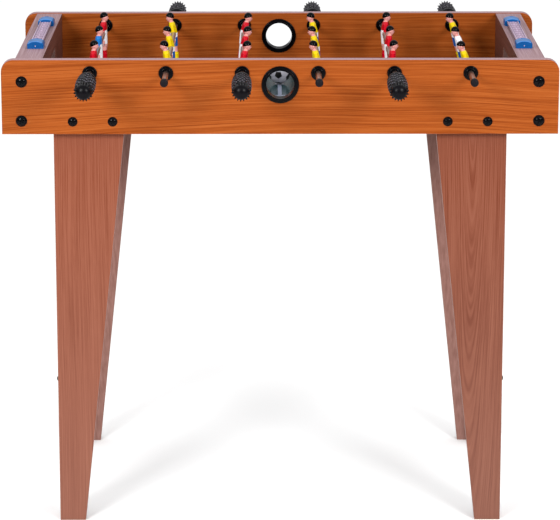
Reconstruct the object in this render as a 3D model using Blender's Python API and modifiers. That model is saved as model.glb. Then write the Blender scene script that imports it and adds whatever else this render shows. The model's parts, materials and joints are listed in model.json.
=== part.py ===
"""Children's foosball table: a wood-grain cabinet on four tapered corner legs, with 18 men on
six push-pull rods, a scorer on each end wall, a ball-entry ring in each side panel and a ball.

Metres, +Z up. The origin is on the floor under the middle of the table, +X runs along its length
and -Y faces the near side panel. Rods are numbered from -X; odd ones have their handle in front.
Run with: blender --background --python part.py
"""

import itertools
import math

import bmesh
import bpy
from mathutils import Matrix

# Driving dimensions of the whole table.
LENGTH = 0.700
DEPTH = 0.400
HEIGHT = 0.610
FIT = 0.0003  # clearance between pieces that touch

# Cabinet boards.
PANEL_HEIGHT = 0.0945
BOARD = 0.015
CORNER_RADIUS = 0.015
END_INSET = 0.017  # from a panel's end to the end wall's outer face
GOAL_BOARD = 0.019
END_WALL_DROP = 0.001  # end walls finish just under the panels' top edge
FIELD_DROP = 0.066  # from the panels' top edge to the playing surface
FIELD_BOARD = 0.005
GOAL_WIDTH = 0.080
GOAL_TOP_DROP = 0.024

# Rods, their bushings and what they carry.
ROD_COUNT = 6
ROD_PITCH = 0.0955
ROD_LEANS = (-4, -4, 7, -5, -2, -11)  # degrees, heads towards +X
ROD_DROP = 0.0168
ROD_RADIUS = 0.0035
ROD_SIDES = 12
BUSHING_BORE = 0.0040
BUSHING_SLEEVE = 0.0060
BUSHING_FLANGE = 0.00925
BUSHING_LIP = 0.003
HANDLE_REACH = (0.056, 0.140)  # inner and outer end, from the panel's outer face
HANDLE_SOCKET = 0.045
CAP_REACH = (0.0655, 0.0745)
CAP_RADIUS = 0.005
MAN_SPACING = 0.1175
MAN_BORE = 0.0039

# Ball, and the rings that it is dropped in through.
BALL_RADIUS = 0.0148
RING_DROP = 0.0315
RING_BORE = 0.0178
RING_SLEEVE = 0.0200
RING_FLANGE = 0.0235
RING_LIP = 0.0025

# Corner legs: each is a front board and a side board glued along the outer edge.
LEG_OUTER_X = 0.2865
LEG_BOARD = 0.015
LEG_WIDTH_TOP = 0.092
LEG_WIDTH_FOOT = 0.033

# Scorers.
SCORER_LENGTH = 0.208
SCORER_CENTRE = (0.3133, -0.006)
SCORER_WIDTH = 0.021
SCORER_CAP_DEPTH = 0.024
SCORER_SIDE_HEIGHT = 0.0066
SCORER_CROWN = 0.0098
SCORER_RAIL = (0.008, 0.0030)  # width, height
TILE_STRIP = (0.0145, 0.0028)  # width, thickness
TILE_STRIP_TRAVEL = 0.006

# Heights and faces that follow from the driving dimensions.
PANEL_BOTTOM = HEIGHT - PANEL_HEIGHT
PANEL_INNER_Y = DEPTH / 2 - BOARD
WALL_TOP = HEIGHT - END_WALL_DROP
WALL_OUTER_X = LENGTH / 2 - END_INSET
WALL_INNER_X = WALL_OUTER_X - BOARD - GOAL_BOARD
INNER_DEPTH = 2 * (PANEL_INNER_Y - FIT)
FIELD_TOP = HEIGHT - FIELD_DROP
ROD_Z = HEIGHT - ROD_DROP
ROD_XS = [(i - (ROD_COUNT - 1) / 2) * ROD_PITCH for i in range(ROD_COUNT)]
SPOOL_CLEARANCE = 0.0005  # between a bushing's or ring's sleeve and its hole

# The figure's cage, from the sole up: height from the rod's axis, half depth, half width, lean.
MAN_CAGE = [
    (-0.0430, 0.0062, 0.0098, -0.0010),
    (-0.0365, 0.0058, 0.0090, -0.0010),
    (-0.0260, 0.0048, 0.0080, -0.0006),
    (-0.0100, 0.0066, 0.0092, 0.0000),
    (0.0020, 0.0080, 0.0118, 0.0002),
    (0.0105, 0.0060, 0.0140, 0.0014),
    (0.0140, 0.0034, 0.0042, 0.0030),
    (0.0200, 0.0072, 0.0070, 0.0036),
    (0.0275, 0.0064, 0.0064, 0.0034),
]


def clear_scene():
    for obj in list(bpy.data.objects):
        bpy.data.objects.remove(obj, do_unlink=True)


def collection(name, hidden=False):
    made = bpy.data.collections.new(name)
    bpy.context.scene.collection.children.link(made)
    made.hide_render = hidden
    return made


def material(name, colour, roughness, metallic=0.0):
    made = bpy.data.materials.new(name)
    made.use_nodes = True
    shader = made.node_tree.nodes["Principled BSDF"]
    shader.inputs["Base Color"].default_value = (*colour, 1.0)
    shader.inputs["Roughness"].default_value = roughness
    shader.inputs["Metallic"].default_value = metallic
    made.diffuse_color = (*colour, 1.0)
    return made


def add(name, mesh, look, place=(0, 0, 0), parent=None):
    """A new part: the mesh under its name, at a place that is its parent's own when it has one."""
    if isinstance(mesh, bmesh.types.BMesh):
        solid = bpy.data.meshes.new(name)
        mesh.to_mesh(solid)
        mesh.free()
        mesh = solid
    if not mesh.materials:
        mesh.materials.append(look)
    obj = bpy.data.objects.new(name, mesh)
    obj.location = place
    obj.parent = parent
    PARTS.objects.link(obj)
    return obj


def box_mesh(size):
    mesh = bmesh.new()
    bmesh.ops.create_cube(mesh, size=1.0)
    bmesh.ops.scale(mesh, vec=size, verts=mesh.verts)
    return mesh


def cylinder_along_y(mesh, radius, length, sides, place):
    """Adds a closed cylinder along Y to the mesh, with flats above and below."""
    made = bmesh.ops.create_cone(
        mesh, cap_ends=True, segments=sides, radius1=radius, radius2=radius, depth=length
    )["verts"]
    turn = Matrix.Translation(place) @ Matrix.Rotation(math.pi / 2, 4, "X")
    bmesh.ops.transform(mesh, matrix=turn, verts=made)


def cutter(name, mesh):
    solid = bpy.data.meshes.new(name)
    mesh.to_mesh(solid)
    mesh.free()
    obj = bpy.data.objects.new(name, solid)
    obj.hide_render = True
    obj.display_type = "WIRE"
    CUTTERS.objects.link(obj)
    return obj


def boolean(target, tool, operation="DIFFERENCE"):
    step = target.modifiers.new(tool.name, "BOOLEAN")
    step.operation = operation
    step.solver = "EXACT"
    step.object = tool


def turned(name, profile, sides, look, parent=None, place=(0, 0, 0), forward=-1, closed=False):
    """A turned part along Y. The profile's points are (radius, distance towards forward)."""
    outline = bmesh.new()
    points = [outline.verts.new((radius, 0, along)) for radius, along in profile]
    pairs = list(itertools.pairwise(points))
    if closed:
        pairs.append((points[-1], points[0]))
    for pair in pairs:
        outline.edges.new(pair)
    obj = add(name, outline, look, place, parent)
    obj.rotation_euler.x = -forward * math.pi / 2
    screw = obj.modifiers.new("turn", "SCREW")
    screw.axis = "Z"
    screw.steps = sides
    screw.render_steps = sides
    screw.use_merge_vertices = True
    screw.merge_threshold = 0.00001
    return obj


def arc(centre, radius, start, stop, count):
    """Points of a round stretch of a profile, from one angle in degrees to another."""
    angles = [math.radians(start + (stop - start) * i / count) for i in range(count + 1)]
    return [(centre[0] + radius * math.cos(a), centre[1] + radius * math.sin(a)) for a in angles]


def spool(name, bore, sleeve, flange, lip, sides, look, place, parent=None):
    """A flanged liner through a board: a sleeve with a bevelled round lip on each face."""
    face = BOARD / 2 + FIT
    edge = lip / 2
    outer = [
        (bore, face + lip),
        (flange - edge, face + lip),
        (flange, face + edge),
        (flange, face),
        (sleeve, face),
    ]
    profile = outer + [(radius, -along) for radius, along in reversed(outer)]
    return turned(name, profile, sides, look, parent, place, closed=True)


def panel_cutter():
    """The six rod holes and the ball hole, which run through both side panels."""
    mesh = bmesh.new()
    for x in ROD_XS:
        radius = BUSHING_SLEEVE + SPOOL_CLEARANCE
        cylinder_along_y(mesh, radius, DEPTH + BOARD, ROD_SIDES, (x, 0, ROD_Z))
    radius = RING_SLEEVE + SPOOL_CLEARANCE
    cylinder_along_y(mesh, radius, DEPTH + BOARD, 24, (0, 0, HEIGHT - RING_DROP))
    return cutter("panel_holes", mesh)


def side_panel(name, side, holes):
    mesh = box_mesh((LENGTH, BOARD, PANEL_HEIGHT))
    corners = [
        edge
        for edge in mesh.edges
        if all(v.co.z > 0 for v in edge.verts)
        and abs(edge.verts[0].co.y - edge.verts[1].co.y) > BOARD / 2
    ]
    bmesh.ops.bevel(
        mesh, geom=corners, offset=CORNER_RADIUS, segments=6, profile=0.5, affect="EDGES"
    )
    centre = (0, side * (DEPTH - BOARD) / 2, HEIGHT - PANEL_HEIGHT / 2)
    panel = add(name, mesh, LAMINATE, centre)
    boolean(panel, holes)


def end_wall(name, side, goal):
    """An outer end board and the goal board inside it, both cut through for the goal."""
    height = WALL_TOP - PANEL_BOTTOM
    z = (WALL_TOP + PANEL_BOTTOM) / 2
    outer = add(
        f"end_board_{name}",
        box_mesh((BOARD - FIT, INNER_DEPTH, height)),
        LAMINATE,
        (side * (WALL_OUTER_X - (BOARD - FIT) / 2), 0, z),
    )
    inner = add(
        f"goal_board_{name}",
        box_mesh((GOAL_BOARD, INNER_DEPTH, height)),
        GOAL_WOOD,
        (side * (WALL_INNER_X + GOAL_BOARD / 2), 0, z),
    )
    for board in (outer, inner):
        boolean(board, goal)


def goal_cutter():
    top = HEIGHT - GOAL_TOP_DROP
    mesh = box_mesh((LENGTH, GOAL_WIDTH, top - FIELD_TOP))
    bmesh.ops.translate(mesh, vec=(0, 0, (top + FIELD_TOP) / 2), verts=mesh.verts)
    return cutter("goal_openings", mesh)


def playfield():
    size = (2 * (WALL_INNER_X - FIT), INNER_DEPTH, FIELD_BOARD)
    add("playfield", box_mesh(size), FIELD_GREEN, (0, 0, FIELD_TOP - FIELD_BOARD / 2))


def draw_out(mesh, face):
    """Extrudes one face, leaving none inside, and returns the new one, still in place."""
    made = bmesh.ops.extrude_face_region(mesh, geom=[face])["geom"]
    bmesh.ops.delete(mesh, geom=[face], context="FACES_ONLY")
    return next(item for item in made if isinstance(item, bmesh.types.BMFace))


def leg(name, side_x, side_y):
    """A corner post whose two boards are drawn out of it and taper towards the floor."""
    top = FIELD_TOP - FIELD_BOARD - FIT
    mesh = box_mesh((LEG_BOARD, LEG_BOARD, top))
    bmesh.ops.translate(mesh, vec=(LEG_BOARD / 2, LEG_BOARD / 2, top / 2), verts=mesh.verts)
    for axis in (0, 1):
        mesh.faces.ensure_lookup_table()
        face = max(mesh.faces, key=lambda f: f.normal[axis])
        for vert in draw_out(mesh, face).verts:
            slope = (LEG_WIDTH_TOP - LEG_WIDTH_FOOT) / top
            vert.co[axis] = LEG_WIDTH_FOOT + slope * vert.co.z
        mesh.normal_update()
    for vert in mesh.verts:
        vert.co.x *= -side_x
        vert.co.y *= -side_y
    if side_x * side_y < 0:
        bmesh.ops.reverse_faces(mesh, faces=mesh.faces)
    add(name, mesh, LEG_WOOD, (side_x * LEG_OUTER_X, side_y * (PANEL_INNER_Y - FIT), 0))


def man_mesh():
    """One moulded figure facing +X, around the rod's axis: a box drawn up stage by stage."""
    mesh = box_mesh((1, 1, 1))
    by_height = sorted(mesh.faces, key=lambda face: face.calc_center_median().z)
    top = by_height[-1]
    fit_section(by_height[0], *MAN_CAGE[0])
    fit_section(top, *MAN_CAGE[1])
    for stage in MAN_CAGE[2:]:
        top = draw_out(mesh, top)
        fit_section(top, *stage)
    return mesh


def fit_section(face, height, depth, width, lean):
    centre = face.calc_center_median()
    for vert in face.verts:
        vert.co.x = lean + math.copysign(depth, vert.co.x - centre.x)
        vert.co.y = math.copysign(width, vert.co.y)
        vert.co.z = height


def men(number, x_axis, facing, look, keeper_look, bore):
    keeper_row = number in (1, ROD_COUNT)
    for place, step in (("front", -1), ("middle", 0), ("rear", 1)):
        keeper = keeper_row and step == 0
        role = "goalkeeper" if keeper else "man"
        obj = add(
            f"{role}_{number}_{place}",
            man_mesh(),
            keeper_look if keeper else look,
            (0, step * MAN_SPACING, 0),
            x_axis,
        )
        obj.rotation_euler.z = 0 if facing > 0 else math.pi
        soften = obj.modifiers.new("soften", "SUBSURF")
        soften.levels = 1
        soften.render_levels = 1
        boolean(obj, bore)


def rod_assembly(number, x, bores):
    """A rod with its end cap, handle, two bushings and three men, on an empty on its axis."""
    forward = -1 if number % 2 else 1
    pivot = bpy.data.objects.new(f"rod_axis_{number}", None)
    pivot.location = (x, 0, ROD_Z)
    pivot.rotation_euler.y = math.radians(ROD_LEANS[number - 1])
    PARTS.objects.link(pivot)
    outside = DEPTH / 2
    inner, outer = (outside + reach for reach in HANDLE_REACH)
    socket = inner + HANDLE_SOCKET
    cap_inner, cap_outer = (-outside - reach for reach in CAP_REACH)
    edge = 0.0015

    rod = [
        (0, socket - FIT),
        (ROD_RADIUS, socket - FIT),
        (ROD_RADIUS, cap_inner),
        (CAP_RADIUS, cap_inner),
        (CAP_RADIUS, cap_outer + edge),
        (CAP_RADIUS - edge, cap_outer),
        (0, cap_outer),
    ]
    turned(f"rod_{number}", rod, ROD_SIDES, STEEL, pivot, forward=forward)

    dome = arc((0, outer - 0.009), 0.009, 90, 0, 4)
    barrel = [
        (0.0105, outer - 0.012),
        (0.0128, outer - 0.022),
        (0.0128, outer - 0.045),
        (0.0112, inner + 0.008),
        (0.0075, inner),
        (BUSHING_BORE, inner),
        (BUSHING_BORE, socket),
        (0, socket),
    ]
    turned(f"handle_{number}", dome + barrel, ROD_SIDES, RUBBER, pivot, forward=forward)

    for place, side in (("front", -1), ("rear", 1)):
        y = side * (DEPTH - BOARD) / 2
        sizes = (BUSHING_BORE, BUSHING_SLEEVE, BUSHING_FLANGE, BUSHING_LIP)
        spool(f"bushing_{number}_{place}", *sizes, ROD_SIDES, PLASTIC, (x, y, ROD_Z))

    look, keeper = (RED, BLUE) if number % 2 else (YELLOW, WHITE)
    men(number, pivot, -forward, look, keeper, bores)


def arched_block(width, depth, side_height, crown):
    """A block standing on Z = 0 whose top is a shallow arch across X."""
    mesh = box_mesh((width, depth, side_height))
    bmesh.ops.translate(mesh, vec=(0, 0, side_height / 2), verts=mesh.verts)
    across = [e for e in mesh.edges if abs(e.verts[0].co.x - e.verts[1].co.x) > width / 2]
    bmesh.ops.subdivide_edges(mesh, edges=across, cuts=5, use_grid_fill=True)
    for vert in mesh.verts:
        if vert.co.z > side_height / 2:
            vert.co.z += (crown - side_height) * (1 - (2 * vert.co.x / width) ** 2)
    return mesh


def scorer(name, side):
    """The scorer's frame, a rail between two arched caps, and the strip of tiles on the rail."""
    place = (side * SCORER_CENTRE[0], SCORER_CENTRE[1], WALL_TOP + FIT)
    cap_y = (SCORER_LENGTH - SCORER_CAP_DEPTH) / 2
    rail_width, rail_height = SCORER_RAIL
    overlap = 0.002
    rail_length = SCORER_LENGTH - 2 * SCORER_CAP_DEPTH

    rail = box_mesh((rail_width, rail_length + overlap, rail_height))
    bmesh.ops.translate(rail, vec=(0, 0, rail_height / 2), verts=rail.verts)
    frame = add(f"scorer_frame_{name}", rail, SCORER_BLUE, place)
    for end in (-1, 1):
        block = arched_block(SCORER_WIDTH, SCORER_CAP_DEPTH, SCORER_SIDE_HEIGHT, SCORER_CROWN)
        cap = cutter(f"scorer_cap_{name}_{'rear' if end > 0 else 'front'}", block)
        cap.location = (place[0], place[1] + end * cap_y, place[2])
        boolean(frame, cap, "UNION")

    strip_width, strip_thick = TILE_STRIP
    strip_length = rail_length - TILE_STRIP_TRAVEL - 2 * FIT
    strip_y = place[1] + TILE_STRIP_TRAVEL / 2
    lift = rail_height + FIT + strip_thick / 2
    strip = box_mesh((strip_width, strip_length, strip_thick))
    add(f"scorer_tiles_{name}", strip, TILE_WHITE, (place[0], strip_y, place[2] + lift))


def ball():
    mesh = bmesh.new()
    bmesh.ops.create_uvsphere(mesh, u_segments=12, v_segments=8, radius=BALL_RADIUS)
    add("ball", mesh, BALL_WHITE, (0, 0, FIELD_TOP + FIT + BALL_RADIUS))


clear_scene()
PARTS = collection("foosball_table")
CUTTERS = collection("cutters", hidden=True)

LAMINATE = material("orange_wood_laminate", (0.60, 0.145, 0.035), 0.45)
LEG_WOOD = material("brown_wood_laminate", (0.42, 0.135, 0.075), 0.50)
GOAL_WOOD = material("dark_wood_laminate", (0.20, 0.060, 0.030), 0.50)
FIELD_GREEN = material("printed_field", (0.22, 0.30, 0.24), 0.55)
STEEL = material("steel", (0.45, 0.40, 0.36), 0.30, 1.0)
RUBBER = material("black_rubber", (0.015, 0.015, 0.017), 0.55)
PLASTIC = material("black_plastic", (0.010, 0.010, 0.012), 0.35)
SCORER_BLUE = material("blue_plastic", (0.02, 0.17, 0.55), 0.35)
TILE_WHITE = material("lilac_white_plastic", (0.75, 0.68, 0.80), 0.40)
RED = material("red_shirt", (0.65, 0.01, 0.03), 0.30)
YELLOW = material("yellow_shirt", (0.85, 0.60, 0.01), 0.30)
BLUE = material("blue_shirt", (0.04, 0.22, 0.62), 0.30)
WHITE = material("white_shirt", (0.80, 0.80, 0.80), 0.30)
BALL_WHITE = material("ball_white", (0.80, 0.80, 0.80), 0.35)

panel_holes = panel_cutter()
side_panel("front_panel", -1, panel_holes)
side_panel("rear_panel", 1, panel_holes)
goal_openings = goal_cutter()
playfield()
for end_name, end_side in (("left", -1), ("right", 1)):
    end_wall(end_name, end_side, goal_openings)
    scorer(end_name, end_side)
    leg(f"leg_front_{end_name}", end_side, -1)
    leg(f"leg_rear_{end_name}", end_side, 1)

bore_mesh = bmesh.new()
for rod_x in ROD_XS:
    cylinder_along_y(bore_mesh, MAN_BORE, DEPTH, ROD_SIDES, (rod_x, 0, ROD_Z))
rod_bores = cutter("rod_bores", bore_mesh)
for rod_number, rod_x in enumerate(ROD_XS, start=1):
    rod_assembly(rod_number, rod_x, rod_bores)

for ring_name, ring_side in (("front", -1), ("rear", 1)):
    ring_place = (0, ring_side * (DEPTH - BOARD) / 2, HEIGHT - RING_DROP)
    ring_sizes = (RING_BORE, RING_SLEEVE, RING_FLANGE, RING_LIP)
    spool(f"ball_ring_{ring_name}", *ring_sizes, 24, PLASTIC, ring_place)
ball()
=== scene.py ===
"""The looks of the foosball table around its CAD frame: materials, men, grips, screws, scorers.

Metres, +Z up, in the frame's own coordinates. The camera looks along +Y from the front.
"""

import json
import math

import bmesh
import bpy
from mathutils import Matrix, Vector


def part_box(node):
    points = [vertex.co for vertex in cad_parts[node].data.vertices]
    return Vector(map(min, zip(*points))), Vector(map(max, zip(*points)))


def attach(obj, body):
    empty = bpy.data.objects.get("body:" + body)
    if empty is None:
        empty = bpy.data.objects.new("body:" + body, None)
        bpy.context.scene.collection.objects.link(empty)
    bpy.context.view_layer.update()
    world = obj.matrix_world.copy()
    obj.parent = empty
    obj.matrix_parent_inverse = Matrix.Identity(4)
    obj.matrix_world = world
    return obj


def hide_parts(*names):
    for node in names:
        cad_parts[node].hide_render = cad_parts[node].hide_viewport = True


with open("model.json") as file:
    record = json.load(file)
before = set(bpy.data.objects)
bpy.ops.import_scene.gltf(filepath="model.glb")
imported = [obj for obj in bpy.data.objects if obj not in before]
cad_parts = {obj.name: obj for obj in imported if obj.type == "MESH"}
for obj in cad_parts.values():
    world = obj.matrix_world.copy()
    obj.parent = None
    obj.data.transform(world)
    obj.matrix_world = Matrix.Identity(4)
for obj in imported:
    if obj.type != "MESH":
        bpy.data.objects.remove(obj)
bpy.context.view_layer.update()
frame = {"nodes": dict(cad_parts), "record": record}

MM = 0.001
RODS = range(1, 7)
SHARP = math.radians(32)
HIGH_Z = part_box("front_panel")[1].z
LEANS = (-4, -4, 7, -5, -2, -11)  # each rod's turn at rest in degrees, as in the CAD
WALL_LIGHT = 2.1  # how brightly the studio lights upright wood, level wood and small pieces
TOP_LIGHT = 1.75
PAINT_LIGHT = 1.6


# ---------------------------------------------------------------- materials


class Look:
    """One material and short calls that add nodes to it."""

    def __init__(self, name, roughness=0.5, metallic=0.0, specular=0.5):
        self.material = bpy.data.materials.new(name)
        self.material.use_nodes = True
        self.tree = self.material.node_tree
        self.shader = self.tree.nodes["Principled BSDF"]
        self.shader.inputs["Roughness"].default_value = roughness
        self.shader.inputs["Metallic"].default_value = metallic
        self.shader.inputs["Specular IOR Level"].default_value = specular
        self.coords = self.tree.nodes.new("ShaderNodeTexCoord")

    def add(self, kind, inputs=(), **settings):
        node = self.tree.nodes.new("ShaderNode" + kind)
        for key, value in settings.items():
            setattr(node, key, value)
        for key, value in dict(inputs).items():
            self.feed(node.inputs[key], value)
        return node

    def feed(self, socket, value):
        if isinstance(value, bpy.types.NodeSocket):
            self.tree.links.new(value, socket)
        elif isinstance(value, tuple) and len(value) == 3 and socket.type == "RGBA":
            socket.default_value = (*value, 1.0)
        else:
            socket.default_value = value

    def place(self, scale=(1, 1, 1), shift=(0, 0, 0)):
        """Object coordinates, moved by shift and then stretched by scale."""
        inputs = {"Vector": self.coords.outputs["Object"], "Scale": scale, "Location": shift}
        return self.add("Mapping", inputs).outputs["Vector"]

    def axes(self, source="Object"):
        split = self.add("SeparateXYZ", {"Vector": self.coords.outputs[source]})
        return split.outputs["X"], split.outputs["Y"], split.outputs["Z"]

    def noise(self, vector, detail, roughness=0.5):
        inputs = {"Vector": vector, "Scale": 1.0, "Detail": detail, "Roughness": roughness}
        return self.add("TexNoise", inputs).outputs["Fac"]

    def speckle(self, scale, detail=2.0):
        """Noise that is the same in every direction, with about scale cells to the metre."""
        return self.noise(self.place((scale,) * 3), detail)

    def math(self, operation, a, b=0.0):
        return self.add("Math", {0: a, 1: b}, operation=operation).outputs["Value"]

    def between(self, value, low, high):
        """0 below low, 1 above high, and straight between them."""
        inputs = {"Value": value, "From Min": low, "From Max": high}
        return self.add("MapRange", inputs).outputs["Result"]

    def ramp(self, value, stops, steps=False):
        node = self.add("ValToRGB", {"Fac": value})
        ramp = node.color_ramp
        ramp.interpolation = "CONSTANT" if steps else "LINEAR"
        while len(ramp.elements) < len(stops):
            ramp.elements.new(0.5)
        for element, (position, colour) in zip(ramp.elements, stops):
            element.position = position
            element.color = (*colour, 1.0)
        return node.outputs["Color"]

    def mottle(self, value, low, high):
        """From one colour to the other over the middle of a noise's range."""
        return self.ramp(value, [(0.3, low), (0.7, high)])

    def mix(self, factor, a, b):
        node = self.add("Mix", data_type="RGBA")
        for index, value in ((0, factor), (6, a), (7, b)):
            self.feed(node.inputs[index], value)
        return node.outputs[2]

    def colour(self, value):
        self.feed(self.shader.inputs["Base Color"], value)

    def rough(self, value, low, high):
        inputs = {"Value": value, "To Min": low, "To Max": high}
        result = self.add("MapRange", inputs).outputs["Result"]
        self.feed(self.shader.inputs["Roughness"], result)

    def bump(self, height, strength, distance):
        inputs = {"Height": height, "Strength": strength, "Distance": distance}
        node = self.add("Bump", inputs)
        self.feed(self.shader.inputs["Normal"], node.outputs["Normal"])


def srgb(red, green, blue):
    """Linear colour from the 0 to 255 numbers of a colour picker."""

    def linear(value):
        value /= 255
        return value / 12.92 if value <= 0.04045 else ((value + 0.055) / 1.055) ** 2.4

    return tuple(linear(v) for v in (red, green, blue))


def dimmed(colour, light):
    """The surface colour that looks like this one under that much light."""
    return tuple(c / light for c in colour)


def shades_under(light, *colours):
    """The surface colours that look like these 0 to 255 ones under that much light."""
    return [dimmed(srgb(*colour), light) for colour in colours]


def wood_grain(look, along, across, centre, bow, stops, fine=1450.0, seed=0.0):
    """Laminate grain: fine lines that bow round a centre into cathedral arches, with short pores.

    along and across are the coordinates with and over the grain. bow is how much rounder the
    arches are than straight lines.
    """
    waver = look.noise(look.place((5, 5, 5), (seed, seed, seed)), 1.0, 0.4)
    waver = look.math("MULTIPLY", look.math("SUBTRACT", waver, 0.5), 0.010)
    over = look.math("ADD", look.math("SUBTRACT", across, centre[1]), waver)
    down = look.math("MULTIPLY", look.math("SUBTRACT", along, centre[0]), bow)
    ring = look.math("ADD", look.math("POWER", over, 2.0), look.math("POWER", down, 2.0))
    ring = look.math("POWER", ring, 0.5)

    def lines(spacing, length, offset, detail, roughness):
        u = look.math("MULTIPLY", ring, spacing)
        v = look.math("MULTIPLY", along, length)
        vector = look.add("CombineXYZ", {"X": u, "Y": v, "Z": seed + offset}).outputs["Vector"]
        return look.noise(vector, detail, roughness)

    thin = lines(fine, 6.0, 0.0, 1.0, 0.6)
    wide = lines(fine * 0.10, 3.0, 4.0, 2.0, 0.5)
    pores = lines(fine * 1.7, 45.0, 9.0, 2.0, 0.5)
    value = look.math("MULTIPLY", thin, 0.62)
    value = look.math("ADD", value, look.math("MULTIPLY", wide, 0.18))
    value = look.math("ADD", value, look.math("MULTIPLY", pores, 0.20))
    dark, middle, light = stops
    return look.ramp(value, [(0.36, dark), (0.50, middle), (0.62, light)]), value


def panel_laminate():
    """Orange cherry laminate with a grey-pink edge band on every face but the two broad ones."""
    look = Look("orange_laminate", roughness=0.42, specular=0.06)
    shades = shades_under(WALL_LIGHT, (152, 66, 14), (187, 91, 29), (204, 109, 46))
    x, _, z = look.axes()
    grain, value = wood_grain(look, x, z, (0.10, HIGH_Z - 0.21), 0.16, shades, seed=1.7)
    facing = look.math("ABSOLUTE", look.axes("Normal")[1])
    speckle = look.speckle(400)
    pale = shades_under(TOP_LIGHT, (180, 142, 146), (208, 174, 180))
    band = look.mottle(speckle, *pale)
    look.colour(look.mix(look.between(facing, 0.5, 0.6), band, grain))
    look.rough(value, 0.36, 0.50)
    look.bump(value, 0.10, 0.0004)
    return look.material


def leg_laminate(name, centre, shades):
    """Red-brown laminate on a leg's outer faces, paler to the foot as painted light from the
    floor, and pinkish paper inside.
    """
    look = Look(name, roughness=0.48, specular=0.08)
    shades = shades_under(WALL_LIGHT, *shades)
    x, y, z = look.axes()
    round_corner = look.math("ADD", look.math("ABSOLUTE", x), look.math("ABSOLUTE", y))
    grain, value = wood_grain(look, z, round_corner, centre, 0.042, shades, fine=900.0, seed=4.1)
    side_x, side_y = look.math("SIGN", x), look.math("SIGN", y)
    normal_x, normal_y, _ = look.axes("Normal")
    outward_x = look.math("MULTIPLY", side_x, normal_x)
    outward_y = look.math("MULTIPLY", side_y, normal_y)
    outward = look.math("MAXIMUM", outward_x, outward_y)
    speckle = look.noise(look.place((300, 300, 60)), 3.0)
    pale = shades_under(WALL_LIGHT, (167, 118, 106), (194, 145, 133))
    paper = look.mottle(speckle, *pale)
    # Painted light: the grain fades towards a pale colour near the floor, standing in for light
    # thrown up from the floor.
    floor_light_reach, floor_light_most = 0.45, 0.10
    near_floor = look.math("SUBTRACT", 1.0, look.between(z, 0.0, floor_light_reach))
    foot = look.math("MULTIPLY", near_floor, floor_light_most)
    grain = look.mix(foot, grain, dimmed(srgb(235, 215, 205), WALL_LIGHT))
    look.colour(look.mix(look.between(outward, 0.6, 0.7), paper, grain))
    look.bump(value, 0.10, 0.0004)
    return look.material


def end_laminate():
    """End walls: red-brown grain along Y on the upright faces, pale pink-brown paper on edges."""
    look = Look("end_laminate", roughness=0.50, specular=0.12)
    shades = shades_under(WALL_LIGHT, (104, 56, 44), (130, 74, 60), (148, 90, 76))
    _, y, z = look.axes()
    grain, value = wood_grain(look, y, z, (0.1, HIGH_Z), 0.06, shades, seed=7.3)
    facing = look.math("ABSOLUTE", look.axes("Normal")[0])
    speckle = look.speckle(300, 3.0)
    pale = shades_under(TOP_LIGHT, (112, 80, 72), (138, 102, 94))
    paper = look.mottle(speckle, *pale)
    look.colour(look.mix(look.between(facing, 0.5, 0.6), paper, grain))
    look.bump(value, 0.10, 0.0004)
    return look.material


def edge_band():
    """The pale pink-brown printed paper on top of the end walls, grain along Y."""
    look = Look("edge_band", roughness=0.5, specular=0.15)
    shades = shades_under(TOP_LIGHT, (156, 118, 122), (180, 143, 149), (196, 162, 168))
    x, y, _ = look.axes()
    grain, value = wood_grain(look, y, x, (0.0, 0.0), 0.02, shades, fine=560.0, seed=9.0)
    look.colour(grain)
    look.bump(value, 0.08, 0.0003)
    return look.material


def board_edge():
    """The thin pale line where two faces of a board meet: the boards' pale edge paper, lightened
    as a painted highlight along the edge.
    """
    look = Look("board_edge", roughness=0.55, specular=0.15)
    edge_speckle = look.speckle(90, 3.0)
    pale = shades_under(WALL_LIGHT, (176, 122, 100), (206, 158, 142))
    look.colour(look.mottle(edge_speckle, *pale))
    return look.material


def moulded(name, colour, roughness=0.35, grain=0.06, spread=0.12, specular=0.3):
    """Moulded plastic or rubber: a little colour mottling and a fine surface grain."""
    look = Look(name, roughness=roughness, specular=specular)
    broad = look.speckle(60, 3.0)
    colour = dimmed(colour, PAINT_LIGHT)
    low = tuple(c * (1 - spread) for c in colour)
    high = tuple(min(1.0, c * (1 + spread)) for c in colour)
    look.colour(look.mottle(broad, low, high))
    fine = look.speckle(1800)
    look.rough(broad, roughness * 0.85, min(1.0, roughness * 1.2))
    look.bump(fine, grain, 0.0002)
    return look.material


def grip_rubber():
    """Black rubber, and a lighter grey on its raised ridges: a painted highlight for the gloss the
    ridges catch from the lamps above.
    """
    black = moulded("grip_rubber", srgb(6, 4, 9), roughness=0.30, grain=0.05, specular=0.08)
    ridge_highlight = moulded("ridge_highlight_rubber", srgb(96, 92, 106), roughness=0.40, grain=0.05, spread=0.35)
    return [black, ridge_highlight]


def steel():
    """Drawn steel tube: fine lines along the rod, Y, over a warm grey."""
    look = Look("drawn_steel", roughness=0.28, metallic=1.0)
    lines = look.noise(look.place((900, 8, 900)), 3.0)
    look.colour(look.mottle(lines, srgb(150, 128, 116), srgb(196, 178, 166)))
    look.rough(lines, 0.22, 0.38)
    look.bump(lines, 0.05, 0.0001)
    return look.material


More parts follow.
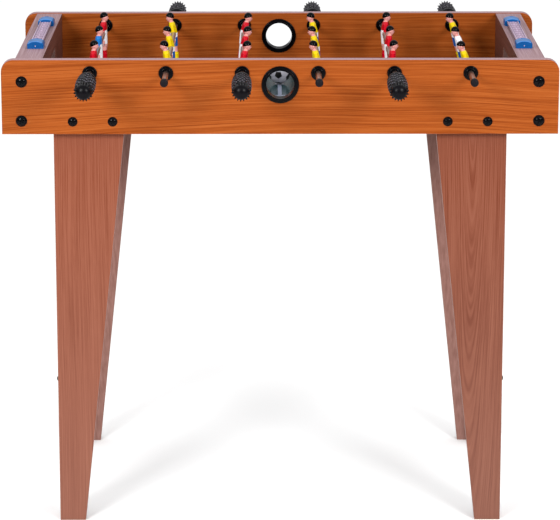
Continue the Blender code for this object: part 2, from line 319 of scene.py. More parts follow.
def pitch(half_length, half_width):
    """The printed pitch under its clear film: dark green, with white lines."""
    look = Look("printed_pitch", roughness=0.16, specular=0.6)
    x, y, _ = look.axes()
    line = 0.0025  # half the width of a line
    stripe_width, margin = 0.0187, 0.012
    ring_radius, spot_radius = 0.085, 0.006
    goal_area, penalty_area = (0.050, 0.070), (0.095, 0.110)
    turf = look.speckle(700)
    mown = look.math("PINGPONG", look.math("ABSOLUTE", x), 2 * stripe_width)
    stripe = look.math("GREATER_THAN", mown, stripe_width)
    deep = look.mottle(turf, srgb(22, 52, 56), srgb(31, 64, 67))
    fresh = look.mottle(turf, srgb(28, 60, 63), srgb(38, 73, 74))
    square = look.math("ADD", look.math("POWER", x, 2.0), look.math("POWER", y, 2.0))
    radius = look.math("POWER", square, 0.5)
    across, along = look.math("ABSOLUTE", y), look.math("ABSOLUTE", x)
    edge_x, edge_y = half_length - margin, half_width - margin

    def below(value, limit):
        return look.math("LESS_THAN", value, limit)

    def between(value, low, high):
        return look.math("MULTIPLY", look.math("GREATER_THAN", value, low), below(value, high))

    def either(*masks):
        total = masks[0]
        for mask in masks[1:]:
            total = look.math("MAXIMUM", total, mask)
        return total

    def box_lines(depth, width):
        back = look.math("MULTIPLY", between(along, edge_x - depth - line, edge_x - depth + line),
                         below(across, width + line))
        ends = look.math("MULTIPLY", between(across, width - line, width + line),
                         between(along, edge_x - depth - line, edge_x))
        return either(back, ends)

    ring = between(radius, ring_radius - line, ring_radius + line)
    middle = below(along, line)
    border = either(between(along, edge_x - line, edge_x + line),
                    between(across, edge_y - line, edge_y + line))
    inside = look.math("MULTIPLY", below(along, edge_x + line), below(across, edge_y + line))
    marks = either(ring, middle, border, below(radius, spot_radius), box_lines(*goal_area),
                   box_lines(*penalty_area))
    marks = look.math("MULTIPLY", marks, inside)
    look.colour(look.mix(marks, look.mix(stripe, deep, fresh), srgb(148, 156, 178)))
    look.rough(turf, 0.12, 0.22)
    return look.material


# ---------------------------------------------------------------- meshes


def mm(*values):
    return tuple(value * MM for value in values)


def finish_mesh(mesh, name, smooth=True):
    """A mesh datablock from the bmesh, smooth but for its sharp edges."""
    bmesh.ops.recalc_face_normals(mesh, faces=mesh.faces)
    for face in mesh.faces:
        face.smooth = smooth
    for edge in mesh.edges:
        edge.smooth = edge.calc_face_angle(0.0) < SHARP
    data = bpy.data.meshes.new(name)
    mesh.to_mesh(data)
    mesh.free()
    return data


def piece(name, data, materials, body, place=(0, 0, 0), turn=None, replaces=()):
    """A new object on a body, with its own materials whichever mesh it shares."""
    obj = bpy.data.objects.new(name, data)
    bpy.context.scene.collection.objects.link(obj)
    matrix = Matrix.Translation(place)
    if turn is not None:
        matrix = matrix @ turn
    obj.matrix_world = matrix
    while len(data.materials) < len(materials):
        data.materials.append(None)
    for index, material in enumerate(materials):
        obj.material_slots[index].link = "OBJECT"
        obj.material_slots[index].material = material
    if replaces:
        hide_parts(*replaces)
    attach(obj, body)
    return obj


def lathe(mesh, profile, segments, closed=False):
    """Turns (radius, y) points round the Y axis."""
    rings = []
    for radius, y in profile:
        if radius < 1e-7:
            rings.append([mesh.verts.new((0, y, 0))])
            continue
        angles = [2 * math.pi * i / segments for i in range(segments)]
        points = [(radius * math.cos(a), y, radius * math.sin(a)) for a in angles]
        rings.append([mesh.verts.new(point) for point in points])
    pairs = list(zip(rings, rings[1:]))
    if closed:
        pairs.append((rings[-1], rings[0]))
    for a, b in pairs:
        for i in range(segments):
            j = (i + 1) % segments
            corners = [a[i % len(a)], a[j % len(a)], b[j % len(b)], b[i % len(b)]]
            corners = list(dict.fromkeys(corners))
            if len(corners) > 2:
                mesh.faces.new(corners)


def arc(centre, radius, start, stop, count):
    """Points of a round stretch of a profile, from one angle in degrees to another."""
    angles = [math.radians(start + (stop - start) * i / count) for i in range(count + 1)]
    return [(centre[0] + radius * math.cos(a), centre[1] + radius * math.sin(a)) for a in angles]


def loft(mesh, sections, segments=20, power=2.4, material=0):
    """Skins oval rings up Z. A section is (z, centre x, centre y, half depth, half width)."""
    rings = []
    for z, cx, cy, rx, ry in sections:
        ring = []
        for i in range(segments):
            a = 2 * math.pi * i / segments
            c, s = math.cos(a), math.sin(a)
            x = cx + rx * math.copysign(abs(c) ** (2 / power), c)
            y = cy + ry * math.copysign(abs(s) ** (2 / power), s)
            ring.append(mesh.verts.new((x, y, z)))
        rings.append(ring)
    for a, b in zip(rings, rings[1:]):
        for i in range(segments):
            j = (i + 1) % segments
            mesh.faces.new((a[i], a[j], b[j], b[i])).material_index = material
    for ring in (rings[0], rings[-1]):
        mesh.faces.new(ring).material_index = material


def ball_part(mesh, centre, radii, material, u=20, v=12):
    """An ellipsoid added to the mesh; returns its vertices."""
    made = bmesh.ops.create_uvsphere(mesh, u_segments=u, v_segments=v, radius=1.0)["verts"]
    bmesh.ops.transform(
        mesh, matrix=Matrix.Translation(centre) @ Matrix.Diagonal((*radii, 1.0)), verts=made
    )
    for face in {f for vert in made for f in vert.link_faces}:
        face.material_index = material
    return made


def rounded_box(mesh, size, centre, edge, material=0, segments=2):
    made = bmesh.ops.create_cube(mesh, size=1.0)["verts"]
    bmesh.ops.transform(
        mesh, matrix=Matrix.Translation(centre) @ Matrix.Diagonal((*size, 1.0)), verts=made
    )
    edges = {e for vert in made for e in vert.link_edges}
    faces = bmesh.ops.bevel(
        mesh, geom=list(edges), offset=edge, segments=segments, profile=0.5, affect="EDGES"
    )["faces"]
    for face in {f for new in faces for vert in new.verts for f in vert.link_faces}:
        face.material_index = material


# ---------------------------------------------------------------- cabinet


def soften(node, width, materials):
    """Gives a CAD board its material and small rounded edges, with its last material along them;
    on the end walls and legs that is the pale edge line, partly edge paper and partly a painted
    highlight.
    """
    obj = frame["nodes"][node]
    obj.data.materials.clear()
    for material in materials:
        obj.data.materials.append(material)
    weld = obj.modifiers.new("weld", "WELD")
    weld.merge_threshold = 0.00002
    bevel = obj.modifiers.new("edges", "BEVEL")
    bevel.width = width
    bevel.segments = 2
    bevel.limit_method = "ANGLE"
    bevel.angle_limit = math.radians(40)
    bevel.harden_normals = True
    bevel.material = len(materials) - 1
    for polygon in obj.data.polygons:
        polygon.use_smooth = False
        polygon.material_index = 0


def cabinet():
    laminate, edge = panel_laminate(), board_edge()
    for node in ("front_panel", "rear_panel"):
        soften(node, 0.5 * MM, [laminate, laminate])
    inner = end_laminate()
    _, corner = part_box("leg_rear_right")
    centres = {"left": (0.660, corner.y + 0.190), "right": (0.620, corner.y + 0.244)}
    # The right legs' laminate is a darker copy of the left legs': painted shade, for the weaker
    # light on that side.
    shades = {
        "left": ((148, 76, 50), (165, 92, 66), (176, 103, 77)),
        "right": ((134, 66, 42), (152, 84, 60), (164, 96, 72)),
    }
    for side in ("left", "right"):
        for node in (f"end_board_{side}", f"goal_board_{side}"):
            soften(node, 0.3 * MM, [inner, edge])
        top_band(side)
        wood = leg_laminate(f"leg_laminate_{side}", centres[side], shades[side])
        for end in ("front", "rear"):
            soften(f"leg_{end}_{side}", 0.5 * MM, [wood, edge])
    low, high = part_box("playfield")
    soften("playfield", 0.2 * MM, [pitch(high.x, high.y)] * 2)


def top_band(side):
    """The paper band over the top of one end wall, across both of its boards."""
    low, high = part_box(f"end_board_{side}")
    inner_low, inner_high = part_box(f"goal_board_{side}")
    x0, x1 = min(low.x, inner_low.x), max(high.x, inner_high.x)
    thick = 0.26 * MM
    mesh = bmesh.new()
    size = (x1 - x0, high.y - low.y, thick)
    centre = ((x0 + x1) / 2, (low.y + high.y) / 2, high.z + thick / 2)
    rounded_box(mesh, size, centre, thick * 0.3, segments=1)
    data = finish_mesh(mesh, f"end_wall_band_{side}")
    piece(f"end_wall_band_{side}", data, [edge_band()], "table")


def screw_mesh(radius, height, name):
    """A domed screw head on a washer rim, cross recess in front, facing -Y from y = 0."""
    mesh = bmesh.new()
    dome = [
        (0, -height),
        (radius * 0.30, -height * 0.97),
        (radius * 0.55, -height * 0.85),
        (radius * 0.72, -height * 0.62),
        (radius * 0.80, -height * 0.36),
        (radius * 0.83, -height * 0.30),
        (radius * 0.94, -height * 0.28),
        (radius, -height * 0.16),
        (radius, 0),
        (0, 0),
    ]
    lathe(mesh, dome, 36)
    head = finish_mesh(mesh, name)
    tool = bmesh.new()
    for angle in (0, math.pi / 2):
        made = bmesh.ops.create_cube(tool, size=1.0)["verts"]
        size = Matrix.Diagonal((radius * 0.95, height * 0.9, radius * 0.17, 1.0))
        turn = Matrix.Rotation(angle + 0.5, 4, "Y")
        bmesh.ops.transform(
            tool, matrix=Matrix.Translation((0, -height, 0)) @ turn @ size, verts=made
        )
    return cut_mesh(head, finish_mesh(tool, name + "_recess", smooth=False), name)


def cut_mesh(data, tool_data, name):
    """The first mesh with the second cut out of it."""
    solid = bpy.data.objects.new(name + "_solid", data)
    tool = bpy.data.objects.new(name + "_tool", tool_data)
    for obj in (solid, tool):
        bpy.context.scene.collection.objects.link(obj)
    step = solid.modifiers.new("cut", "BOOLEAN")
    step.operation = "DIFFERENCE"
    step.solver = "EXACT"
    step.use_self = True
    step.object = tool
    graph = bpy.context.evaluated_depsgraph_get()
    cut = bpy.data.meshes.new_from_object(solid.evaluated_get(graph))
    for obj in (solid, tool):
        bpy.data.objects.remove(obj)
    mesh = bmesh.new()
    mesh.from_mesh(cut)
    bmesh.ops.remove_doubles(mesh, verts=mesh.verts, dist=1e-6)
    result = finish_mesh(mesh, name)
    bpy.data.meshes.remove(cut)
    return result


def screws():
    """Four large and four small heads on each long panel, and one on each leg's outer side."""
    black = moulded("screw_black", srgb(3, 2, 5), roughness=0.10, grain=0.01, specular=0.09)
    large = screw_mesh(7.2 * MM, 3.4 * MM, "large_screw")
    small = screw_mesh(6.1 * MM, 2.8 * MM, "small_screw")
    side_screw = screw_mesh(3.6 * MM, 1.8 * MM, "side_screw")
    low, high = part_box("front_panel")
    below_top = ((large, 0.0255, 0.0277), (large, 0.0247, 0.0775), (small, 0.0890, 0.0785),
                 (small, 0.1392, 0.0785))
    spots = [(data, high.x - from_end, high.z - down) for data, from_end, down in below_top]
    leg_inset, leg_height = 0.0075, 0.19
    for panel, y, side in (("front", low.y, 1), ("rear", -low.y, -1)):
        turn = Matrix.Rotation(0 if side > 0 else math.pi, 4, "Z")
        for number, (data, x, z) in enumerate(spots, start=1):
            for end, sign in (("left", -1), ("right", 1)):
                place = (sign * x, y, z)
                name = f"screw_{panel}_{end}_{number}"
                piece(name, data, [black], "table", place, turn)
    for end in ("front", "rear"):
        for side, sign in (("left", -1), ("right", 1)):
            low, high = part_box(f"leg_{end}_{side}")
            x = low.x if sign < 0 else high.x
            y = low.y + leg_inset if end == "front" else high.y - leg_inset
            turn = Matrix.Rotation(-sign * math.pi / 2, 4, "Z").inverted()
            piece(f"screw_leg_{end}_{side}", side_screw, [black], "table",
                  (x, y, leg_height), turn)


# ---------------------------------------------------------------- rods


def spool_data(name, node, bore, hub, flange, segments):
    """A flanged liner centred on y = 0, from its node's length: rounded flange and raised hub."""
    low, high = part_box(node)
    face = (high.y - low.y) / 2
    board = 0.0153 / 2
    lip = face - board
    top = [
        (bore, face - 0.0006),
        (bore + 0.0005, face),
        *arc((hub - 0.0007, face - 0.0007), 0.0007, 90, 0, 3),
        (hub, face - lip * 0.35),
        *arc((flange - 0.0009, face - lip * 0.35 - 0.0009), 0.0009, 90, 0, 4),
        (flange, board),
        (bore + 0.0012, board),
    ]
    mesh = bmesh.new()
    profile = [(r, -y) for r, y in top] + [(r, y) for r, y in reversed(top)]
    lathe(mesh, profile, segments, closed=True)
    return finish_mesh(mesh, name)


def bushings():
    black = moulded("bushing_black", srgb(4, 3, 6), roughness=0.18, grain=0.02, specular=0.08)
    low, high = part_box("bushing_1_front")
    flange = (high.z - low.z) / 2
    data = spool_data("bushing", "bushing_1_front", 0.0039, 0.0066, flange, 48)
    for n in RODS:
        for end in ("front", "rear"):
            node = f"bushing_{n}_{end}"
            low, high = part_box(node)
            piece(f"liner_{n}_{end}", data, [black], f"bushings_{n}", (low + high) / 2,
                  replaces=[node])
    low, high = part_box("ball_ring_front")
    flange = (high.z - low.z) / 2
    data = spool_data("ball_ring", "ball_ring_front", 0.0178, 0.0205, flange, 72)
    for end in ("front", "rear"):
        node = f"ball_ring_{end}"
        low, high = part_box(node)
        piece(f"ball_entry_{end}", data, [black], "table", (low + high) / 2,
              replaces=[node])


def handle_mesh(length):
    """A grip from y = 0, its shoulder nearest the table, to its smooth dome at y = -length.

    Wavy raised ridges run along the barrel, and three rings of blunt teeth stand round its end.
    """
    mesh = bmesh.new()
    start, stop = 0.0095, length - 0.0125
    ridges, ridge_height, ridge_top = 14, 0.0013, 3.1
    dome_radius, dome_start = 0.0094, stop + 0.0064
    teeth, tooth_height = 18, 0.0026
    shoulder = [
        (0, -0.0040),
        (0.0040, -0.0040),
        (0.0040, 0),
        (0.0066, 0),
        *arc((0.0084, -0.0034), 0.0034, 80, 0, 6),
        (0.0118, -0.0080),
        (0.0112, -0.0090),
    ]
    lathe(mesh, shoulder, 144)
    rows, segments = 56, 144
    rings, raised = [], {}
    for row in range(rows + 1):
        share = row / rows
        y = -(start - 0.0005) - (stop - start) * share
        base = 0.0108 - 0.0011 * share**2 + 0.0007 * math.sin(math.pi * share)
        fade = min(1.0, 12 * share, 12 * (1 - share))
        ring = []
        for i in range(segments):
            angle = 2 * math.pi * i / segments
            phase = ridges * angle + 2.2 * math.sin(430 * y + 1.7 * math.sin(3 * angle))
            rise = fade * max(0.0, math.cos(phase))
            radius = base + ridge_height * rise
            ring.append(mesh.verts.new((radius * math.cos(angle), y, radius * math.sin(angle))))
            raised[ring[-1]] = rise
        rings.append(ring)
    for a, b in zip(rings, rings[1:]):
        for i in range(segments):
            j = (i + 1) % segments
            face = mesh.faces.new((a[i], a[j], b[j], b[i]))
            # The ridge tops take the second material, the painted highlight.
            face.material_index = int(sum(raised[vert] for vert in face.verts) > ridge_top)
    dome = [
        (0.0096, -(stop - 0.0010)),
        (0.0096, -(stop + 0.0050)),
        (dome_radius, -(stop + 0.0062)),
    ]
    depth = length - dome_start
    for i in range(9):
        angle = math.radians(90 * i / 8)
        dome.append((dome_radius * math.cos(angle), -dome_start - depth * math.sin(angle)))
    lathe(mesh, dome, 48)
    for y in (-(stop - 0.0016), -(stop + 0.0014), -(stop + 0.0044)):
        for i in range(teeth):
            tooth(mesh, dome_radius, y, 2 * math.pi * i / teeth, tooth_height)
    return finish_mesh(mesh, "grip")


def tooth(mesh, radius, y, angle, tall):
    """One blunt four-sided point standing out of the grip's end."""
    buried = 0.0006
    made = bmesh.ops.create_cone(
        mesh, cap_ends=True, segments=4, radius1=0.00180, radius2=0.00030, depth=tall + buried
    )["verts"]
    place = Matrix.Translation((0, y, radius + (tall - buried) / 2))
    outward = Matrix.Rotation(angle, 4, "Y") @ place
    turned = Matrix.Rotation(math.pi / 4, 4, "Z")
    bmesh.ops.transform(mesh, matrix=outward @ turned, verts=made)


def rod_axis(n):
    """Where the rod's axis crosses y = 0, and the rod's turn at rest."""
    low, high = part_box(f"rod_{n}")
    axis = Vector(((low.x + high.x) / 2, 0, (low.z + high.z) / 2))
    return axis, Matrix.Rotation(math.radians(LEANS[n - 1]), 4, "Y")


def cap_mesh(length):
    """A rounded plastic cap from y = 0 to -length, hollow where the rod's end sits."""
    radius, flat, rounding, bore, seat = 0.0050, 0.0022, 0.0022, 0.0030, 0.002
    profile = [
        (0, -length),
        (flat, -length + 0.0004),
        *arc((radius - rounding, -length + 0.0026), rounding, -70, 0, 4),
        (radius, -0.0006),
        (radius - 0.0005, 0),
        (bore, 0),
        (bore, -seat),
        (0, -seat),
    ]
    mesh = bmesh.new()
    lathe(mesh, profile, 32)
    return finish_mesh(mesh, "rod_cap")


def tube_mesh(name, start, stop):
    """A steel tube along Y with closed, slightly rounded ends."""
    radius, rounding = 0.0035, 0.0004
    profile = [(0, start), (radius - rounding, start), (radius, start + rounding)]
    profile += [(radius, stop - rounding), (radius - rounding, stop), (0, stop)]
    mesh = bmesh.new()
    lathe(mesh, profile, 32)
    return finish_mesh(mesh, name)


def rods():
    """Tube, grip and cap of each rod. Odd rods have their grip at the front, even ones behind."""
    rubber = grip_rubber()
    cap_black = moulded("cap_black", srgb(20, 17, 22), roughness=0.45, grain=0.04, specular=0.08)
    metal = steel()
    low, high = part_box("handle_1")
    grip = handle_mesh(high.y - low.y)
    cap_length, overlap = 0.0095, 0.001
    cap = cap_mesh(cap_length)
    half_turn = Matrix.Rotation(math.pi, 4, "Z")
    for n in RODS:
        odd = n % 2
        body = f"rod_{n}"
        low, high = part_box(body)
        axis, lean = rod_axis(n)
        start = low.y if odd else low.y + cap_length - overlap
        stop = high.y - cap_length + overlap if odd else high.y
        piece(f"tube_{n}", tube_mesh(f"tube_{n}", start, stop), [metal], body, axis, lean,
              replaces=[f"rod_{n}"])
        end_y = high.y - cap_length if odd else low.y + cap_length
        piece(f"rod_cap_{n}", cap, [cap_black], body, (axis.x, end_y, axis.z),
              lean @ half_turn if odd else lean)
        low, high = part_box(f"handle_{n}")
        inner_y = high.y if odd else low.y
        spin = Matrix.Rotation(0.37 * n, 4, "Y")
        piece(f"grip_{n}", grip, rubber, body, (axis.x, inner_y, axis.z),
              spin if odd else half_turn @ spin, replaces=[f"handle_{n}"])


# ---------------------------------------------------------------- men

SKIN, KIT, HAIR, TRIM = range(4)


def man_data():
    """One footballer facing +X about the rod's axis. Material slots: skin, kit, hair, trim."""
    mesh = bmesh.new()
    body = [
        (-42.9, 0.2, 0, 4.8, 7.6),
        (-42.2, 0.3, 0, 5.6, 8.4),
        (-39.4, 0.3, 0, 5.7, 8.5),
        (-37.4, -0.2, 0, 4.7, 7.4),
        (-35.4, -0.6, 0, 3.7, 6.4),
        (-31.0, -0.8, 0, 3.7, 6.5),
        (-27.6, -0.6, 0, 4.1, 6.9),
        (-27.0, -0.6, 0, 3.5, 6.5),
        (-22.0, -0.2, 0, 3.5, 6.6),
        (-17.6, 0.0, 0, 4.2, 7.0),
        (-17.0, 0.0, 0, 4.6, 8.2),
        (-10.0, 0.0, 0, 4.9, 8.6),
        (-4.0, 0.0, 0, 5.1, 8.8),
        (-0.6, 0.0, 0, 5.3, 9.0),
        (0.2, 0.0, 0, 5.4, 9.2),
        (4.0, 0.4, 0, 5.0, 9.4),
        (9.0, 1.0, 0, 4.7, 10.2),
        (13.0, 1.4, 0, 4.2, 10.4),
        (15.2, 1.8, 0, 3.4, 7.6),
        (16.4, 2.0, 0, 2.7, 4.4),
    ]
    loft(mesh, [mm(*row) for row in body], 24, 2.3, KIT)
    neck = [(15.0, 2.2, 0, 2.9, 3.0), (18.6, 3.0, 0, 2.8, 2.9)]
    loft(mesh, [mm(*row) for row in neck], 16, 2.0, SKIN)
    for side in (-1, 1):
        arm = [
            (13.4, 1.4, side * 9.4, 1.6, 1.2),
            (12.4, 1.3, side * 10.2, 2.5, 1.9),
            (8.0, 1.0, side * 10.7, 2.5, 1.9),
            (3.0, 0.4, side * 10.9, 2.4, 1.7),
            (0.2, 0.0, side * 10.9, 2.4, 1.6),
            (-0.3, 0.0, side * 10.8, 2.0, 1.3),
            (-5.0, -0.4, side * 10.5, 1.9, 1.3),
            (-9.0, -0.2, side * 10.2, 2.1, 1.3),
            (-12.0, 0.2, side * 10.0, 1.8, 1.2),
            (-13.4, 0.4, side * 9.9, 1.0, 0.8),
        ]
        loft(mesh, [mm(*row) for row in arm], 14, 2.2, TRIM)
    head_centre, head_radii = mm(3.4, 0, 21.4), mm(4.7, 4.4, 5.9)
    for vert in ball_part(mesh, head_centre, head_radii, SKIN, 24, 16):
        below = max(0.0, head_centre[2] - vert.co.z) / head_radii[2]
        vert.co.x += 0.6 * MM * below
        vert.co.y *= 1 - 0.22 * below
    ball_part(mesh, mm(8.1, 0, 20.2), mm(0.7, 0.7, 1.0), SKIN, 10, 8)
    for side in (-1, 1):
        ball_part(mesh, mm(7.5, side * 1.8, 21.5), mm(0.5, 0.5, 0.5), HAIR, 10, 8)
        ball_part(mesh, mm(2.9, side * 4.4, 20.8), mm(1.1, 0.6, 1.5), SKIN, 12, 8)
    hair = bmesh.new()
    ball_part(hair, mm(3.1, 0, 22.7), mm(5.6, 5.0, 5.7), HAIR, 28, 18)
    slope = Vector((0.30, 0, -1)).normalized()
    bmesh.ops.bisect_plane(
        hair, geom=hair.verts[:] + hair.edges[:] + hair.faces[:], plane_co=mm(3.4, 0, 22.2),
        plane_no=slope, clear_outer=True,
    )
    bmesh.ops.holes_fill(hair, edges=[e for e in hair.edges if e.is_boundary])
    for face in hair.faces:
        face.material_index = HAIR
    scratch = bpy.data.meshes.new("hair")
    hair.to_mesh(scratch)
    hair.free()
    mesh.from_mesh(scratch)
    bpy.data.meshes.remove(scratch)
    return finish_mesh(mesh, "footballer")


def painted_zones(look, height, low, high, zones):
    """Bands of colour by height. A zone is the millimetres where it starts, and its colour."""
    stops = [((start * MM - low) / (high - low), colour) for start, colour in zones]
    return look.ramp(look.between(height, low, high), stops, steps=True)


def kit(name, shirt, band, shorts, skin, socks, boots, hem, knee, sock_top):
    """Painted bands up the figure, by height from the rod's axis, with a stripe down the side.

    hem, knee and sock_top are the heights in millimetres where the shirt, shorts and skin end.
    """
    look = Look(name, roughness=0.28, specular=0.12)
    shirt, band, shorts, skin, socks, boots = (
        dimmed(c, PAINT_LIGHT) for c in (shirt, band, shorts, skin, socks, boots)
    )
    x, _, z = look.axes()
    edge = look.speckle(500)
    waver = look.math("MULTIPLY", look.math("SUBTRACT", edge, 0.5), 0.0012)
    zones = painted_zones(look, look.math("ADD", z, waver), -0.046, 0.018, [
        (-46.0, boots),
        (-38.6, socks),
        (sock_top, skin),
        (knee, shorts),
        (-5.0, band),
        (hem, shirt),
        (15.6, skin),
    ])
    stripe_x, half_stripe = 0.0012, 0.0005
    stripe_low, stripe_high = -0.0168, -0.0052
    offset = look.math("SUBTRACT", look.math("ABSOLUTE", x), stripe_x)
    stripe = look.math("LESS_THAN", look.math("ABSOLUTE", offset), half_stripe)
    below = look.math("LESS_THAN", z, stripe_high)
    above = look.math("GREATER_THAN", z, stripe_low)
    marked = look.math("MULTIPLY", stripe, look.math("MULTIPLY", below, above))
    grey = dimmed(srgb(120, 116, 124), PAINT_LIGHT)
    look.colour(look.mix(marked, zones, grey))
    look.rough(edge, 0.22, 0.36)
    return look.material


def sleeves(name, upper, lower, skin):
    """Arms: sleeve, then a lighter cuff, then the hand."""
    look = Look(name, roughness=0.28, specular=0.12)
    upper, lower, skin = (dimmed(c, PAINT_LIGHT) for c in (upper, lower, skin))
    edge = look.speckle(500)
    zones = [(-16.0, skin), (-8.5, lower), (1.0, upper)]
    look.colour(painted_zones(look, look.axes()[2], -0.016, 0.013, zones))
    look.rough(edge, 0.22, 0.36)
    return look.material


def men():
    skin_tone = srgb(255, 176, 168)
    skin = moulded("painted_skin", skin_tone, roughness=0.35, grain=0.03, spread=0.05)
    hair = moulded("painted_hair", srgb(2, 1, 3), roughness=0.12, grain=0.0, specular=0.08)
    white, red = (1.26, 1.22, 1.28), srgb(216, 4, 34)
    yellow, blue = srgb(255, 218, 0), srgb(16, 100, 188)
    sky = srgb(30, 128, 214)
    dark_boots, navy_boots = srgb(40, 12, 14), srgb(20, 30, 50)
    kits = {
        "red_shirt": (
            kit("red_kit", red, white, white, skin_tone, red, dark_boots, 4.5, -14, -23),
            sleeves("red_sleeves", red, white, skin_tone),
        ),
        "blue_shirt": (
            kit("sky_kit", sky, white, white, skin_tone, red, dark_boots, 4.5, -14, -23),
            sleeves("sky_sleeves", sky, white, skin_tone),
        ),
        "yellow_shirt": (
            kit("yellow_kit", yellow, white, blue, skin_tone, yellow, navy_boots, 1, -17, -25),
            sleeves("yellow_sleeves", yellow, white, skin_tone),
        ),
        "white_shirt": (
            kit("white_kit", white, white, blue, skin_tone, yellow, navy_boots, 1, -17, -25),
            sleeves("white_sleeves", white, white, skin_tone),
        ),
    }
    slots = {entry["node"]: entry["material_slot"] for entry in frame["record"]["subparts"]}
    data = man_data()
    for n in RODS:
        axis, lean = rod_axis(n)
        for node in frame["record"]["behaviour"]["bodies"][f"rod_{n}"]:
            if not node.startswith(("man", "goalkeeper")):
                continue
            low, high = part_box(node)
            place = (axis.x, (low.y + high.y) / 2, axis.z)
            turn = lean if n % 2 else lean @ Matrix.Rotation(math.pi, 4, "Z")
            body, arms = kits[slots[node]]
            name = node.replace("goalkeeper", "keeper").replace("man_", "player_")
            piece(name, data, [skin, body, hair, arms], f"rod_{n}", place, turn,
                  replaces=[node])


# ---------------------------------------------------------------- scorers and ball


def scorers():
    blue = moulded("scorer_blue", srgb(0, 88, 160), roughness=0.30, grain=0.03, specular=0.2)
    # The lighter blue on the caps' arched tops is a painted highlight along the crown.
    sky = moulded("scorer_crown_highlight", srgb(84, 140, 208), roughness=0.30, grain=0.03, specular=0.2)
    pale = moulded("tile_lilac", srgb(168, 140, 168), roughness=0.35, grain=0.04, spread=0.05)
    mark = moulded("tile_mark", srgb(214, 190, 216), roughness=0.35, grain=0.03, spread=0.02)
    for side in ("left", "right"):
        low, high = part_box(f"scorer_frame_{side}")
        middle = (low + high) / 2
        piece(f"scorer_{side}", scorer_frame(low, high), [blue, mark, sky], "table",
              (middle.x, middle.y, low.z),
              replaces=[f"scorer_frame_{side}"])
        low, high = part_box(f"scorer_tiles_{side}")
        tiles(side, low, high, pale, mark)


def scorer_frame(low, high):
    """A low rail between two arched caps, each with a small nub on its crown and a pin."""
    mesh = bmesh.new()
    half_width, half_length = (high.x - low.x) / 2, (high.y - low.y) / 2
    crown = high.z - low.z
    depth, side_height = 0.024, 0.0066
    corner, edge = 0.0006, 0.0009
    crown_highlight_material, mark_material = 2, 1
    rounded_box(mesh, (0.008, 2 * half_length - 2 * depth + 0.004, 0.0030),
                (0, 0, 0.0015), 0.0003)
    for end in (-1, 1):
        centre = end * (half_length - depth / 2)
        rings = []
        steps = 14
        outline = [(-half_width, 0), (-half_width, side_height - corner)]
        for i in range(steps + 1):
            x = (half_width - corner) * (2 * i / steps - 1)
            z = side_height + (crown - side_height) * (1 - abs(x / half_width) ** 2.4)
            outline.append((x, z))
        outline += [(half_width, side_height - corner), (half_width, 0)]
        for inset, y in ((edge, -depth / 2), (0, -depth / 2 + edge), (0, depth / 2 - edge),
                         (edge, depth / 2)):
            ring = []
            for x, z in outline:
                shrink = 1 - inset / half_width
                ring.append(mesh.verts.new((x * shrink, centre + y, z * (1 - inset / crown))))
            rings.append(ring)
        for a, b in zip(rings, rings[1:]):
            for i in range(len(a)):
                j = (i + 1) % len(a)
                face = mesh.faces.new((a[i], a[j], b[j], b[i]))
                # The arched top faces take the lighter blue, a painted highlight.
                face.material_index = crown_highlight_material if 2 <= i <= steps else 0
        for ring in (rings[0], rings[-1]):
            mesh.faces.new(ring)
        rounded_box(mesh, (0.0050, 0.0030, 0.0010), (0, centre + 0.0090, crown - 0.0002), 0.0003)
        pin = (0, centre + end * depth / 2, 0.0034)
        ball_part(mesh, pin, mm(0.7, 0.5, 0.8), mark_material, 12, 8)
    return finish_mesh(mesh, "scorer")


def digit_mesh(text, size):
    """One digit as a thin solid mesh, its middle at the origin, reading up +Y."""
    curve = bpy.data.curves.new("digit", "FONT")
    curve.body = text
    curve.size = size
    curve.align_x = "CENTER"
    curve.align_y = "CENTER"
    curve.extrude = 0.00045
    curve.resolution_u = 3
    obj = bpy.data.objects.new("digit", curve)
    bpy.context.scene.collection.objects.link(obj)
    graph = bpy.context.evaluated_depsgraph_get()
    data = bpy.data.meshes.new_from_object(obj.evaluated_get(graph))
    bpy.data.objects.remove(obj)
    bpy.data.curves.remove(curve)
    return data


def tiles(side, low, high, pale, mark):
    """Nine counting tiles in a row between two thin rims, each with a digit and two short ribs."""
    mesh = bmesh.new()
    width, length, thick = high.x - low.x, high.y - low.y, high.z - low.z
    count = 9
    step = length / count
    rim = 0.0010
    middles = [-length / 2 + (i + 0.5) * step for i in range(count)]
    for y in middles:
        rounded_box(mesh, (width - 2 * rim, step - 0.0012, thick), (0, y, 0), 0.0005)
    for side_x in (-1, 1):
        x = side_x * (width - rim) / 2
        rounded_box(mesh, (rim, length, thick + 0.0008), (x, 0, 0.0004), 0.0003, material=1)
    for y in middles:
        for rib_x in (-0.0034, 0.0034):
            rounded_box(mesh, (0.0018, 0.0022, 0.0006), (rib_x, y, thick / 2), 0.0002, material=1)
    for number, y in enumerate(middles, start=1):
        data = digit_mesh(str(number), 0.0085)
        data.transform(Matrix.Translation((0, y, thick / 2)))
        before = len(mesh.faces)
        mesh.from_mesh(data)
        mesh.faces.ensure_lookup_table()
        for face in mesh.faces[before:]:
            face.material_index = 1
        bpy.data.meshes.remove(data)
    middle = (low + high) / 2
    piece(f"score_tiles_{side}", finish_mesh(mesh, f"score_tiles_{side}"), [pale, mark],
          f"scorer_tiles_{side}", middle,
          replaces=[f"scorer_tiles_{side}"])


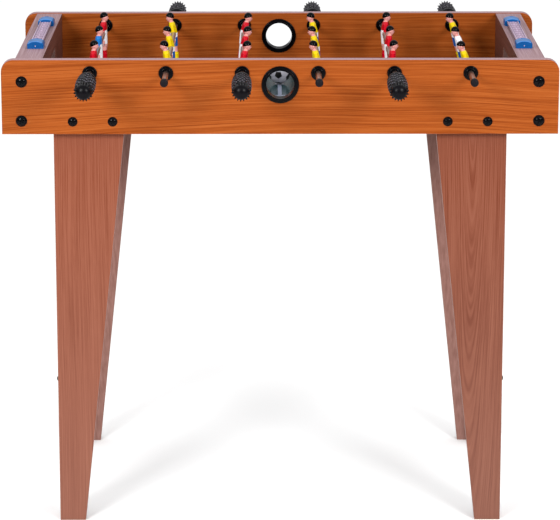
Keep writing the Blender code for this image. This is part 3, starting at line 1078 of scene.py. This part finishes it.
def football():
    """A moulded football: twelve black pentagons and twenty white hexagons with grey seams."""
    low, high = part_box("ball")
    radius = (high.z - low.z) / 2
    mesh = bmesh.new()
    bmesh.ops.create_icosphere(mesh, subdivisions=1, radius=radius)
    pole = max(mesh.verts, key=lambda vert: vert.co.z)
    near = pole.link_edges[0].other_vert(pole)
    turn = frame_of(Vector((-0.11, -0.992, -0.057)), Vector((0, 0, -1)))
    turn = turn @ frame_of(pole.co, near.co).inverted()
    edge = mesh.edges[:][0].calc_length()
    bmesh.ops.bevel(mesh, geom=mesh.verts[:], offset=edge / 3, segments=1, affect="VERTICES")
    for face in mesh.faces:
        face.material_index = 1 if len(face.verts) == 5 else 0
    panels = mesh.faces[:]
    rims = bmesh.ops.inset_individual(mesh, faces=panels, thickness=edge * 0.010, depth=0)["faces"]
    for face in rims:
        face.material_index = 2
    bmesh.ops.triangulate(mesh, faces=panels)
    for _ in range(3):
        bmesh.ops.subdivide_edges(mesh, edges=mesh.edges[:], cuts=1, use_grid_fill=True)
    for vert in mesh.verts:
        vert.co = vert.co.normalized() * radius
    data = finish_mesh(mesh, "football")
    white = moulded("ball_white_look", srgb(196, 196, 208), grain=0.03, spread=0.03)
    black = moulded("ball_black_look", srgb(8, 8, 11), roughness=0.35, grain=0.03)
    seam = moulded("ball_seam_look", srgb(140, 140, 152), roughness=0.5, grain=0.03)
    piece("football", data, [white, black, seam], "ball", (low + high) / 2, turn.to_4x4(),
          replaces=["ball"])


def frame_of(first, second):
    """The turn whose X axis lies along first, with second in its XY plane on the +Y side."""
    a = first.normalized()
    b = (second - a * second.dot(a)).normalized()
    return Matrix((a, b, a.cross(b))).transposed()


# ---------------------------------------------------------------- stage


def pale_floor():
    mesh = bmesh.new()
    bmesh.ops.create_grid(mesh, x_segments=1, y_segments=1, size=14.0)
    data = bpy.data.meshes.new("floor")
    mesh.to_mesh(data)
    mesh.free()
    floor = bpy.data.objects.new("floor", data)
    bpy.context.scene.collection.objects.link(floor)
    look = Look("pale_floor", roughness=0.9, specular=0.1)
    cloud = look.speckle(2)
    look.colour(look.mottle(cloud, (0.88,) * 3, (0.90,) * 3))
    data.materials.append(look.material)


def studio_world():
    """A dome that is pale above and grey below, seen by the camera as plain white."""
    world = bpy.data.worlds.new("studio")
    world.use_nodes = True
    nodes, links = world.node_tree.nodes, world.node_tree.links
    background = nodes["Background"]
    background.inputs["Strength"].default_value = 1.0
    direction = nodes.new("ShaderNodeTexCoord")
    split = nodes.new("ShaderNodeSeparateXYZ")
    dome = nodes.new("ShaderNodeValToRGB")
    rays = nodes.new("ShaderNodeLightPath")
    backdrop = nodes.new("ShaderNodeMix")
    backdrop.data_type = "RGBA"
    backdrop.inputs[7].default_value = (1, 1, 1, 1)
    below, above = dome.color_ramp.elements
    below.position, below.color = 0.15, (0.20, 0.20, 0.21, 1)
    above.position, above.color = 0.55, (1.28, 1.28, 1.28, 1)
    links.new(direction.outputs["Generated"], split.inputs["Vector"])
    links.new(split.outputs["Z"], dome.inputs["Fac"])
    links.new(rays.outputs["Is Camera Ray"], backdrop.inputs[0])
    links.new(dome.outputs["Color"], backdrop.inputs[6])
    links.new(backdrop.outputs[2], background.inputs["Color"])
    bpy.context.scene.world = world


def lamps():
    """A large soft lamp on each side, in front of the table and above it."""
    target = Vector((0, 0, 0.45))
    size = 0.75
    for name, place, power in (
        ("key_left", (-1.15, -2.15, 1.40), 44.0),
        ("key_right", (1.20, -2.10, 1.40), 40.0),
    ):
        light = bpy.data.lights.new(name, "AREA")
        light.shape = "DISK"
        light.size = size
        light.energy = power
        obj = bpy.data.objects.new(name, light)
        obj.location = place
        obj.rotation_mode = "QUATERNION"
        obj.rotation_quaternion = (target - obj.location).to_track_quat("-Z", "Y")
        bpy.context.scene.collection.objects.link(obj)


def camera():
    """The photo's view, from a camera pitched down at the table."""
    pitch_down, turn_right = 13.552, 0.28
    view = bpy.data.objects.new("camera", bpy.data.cameras.new("camera"))
    view.location = (-0.018, -3.820, 1.225)
    view.rotation_euler = (math.radians(90 - pitch_down), 0, -math.radians(turn_right))
    view.data.lens = 188.2
    view.data.clip_end = 60.0
    bpy.context.scene.collection.objects.link(view)
    bpy.context.scene.camera = view
    bpy.context.scene.view_settings.view_transform = "Standard"


cabinet()
screws()
bushings()
rods()
men()
scorers()
football()
pale_floor()
studio_world()
lamps()
camera()
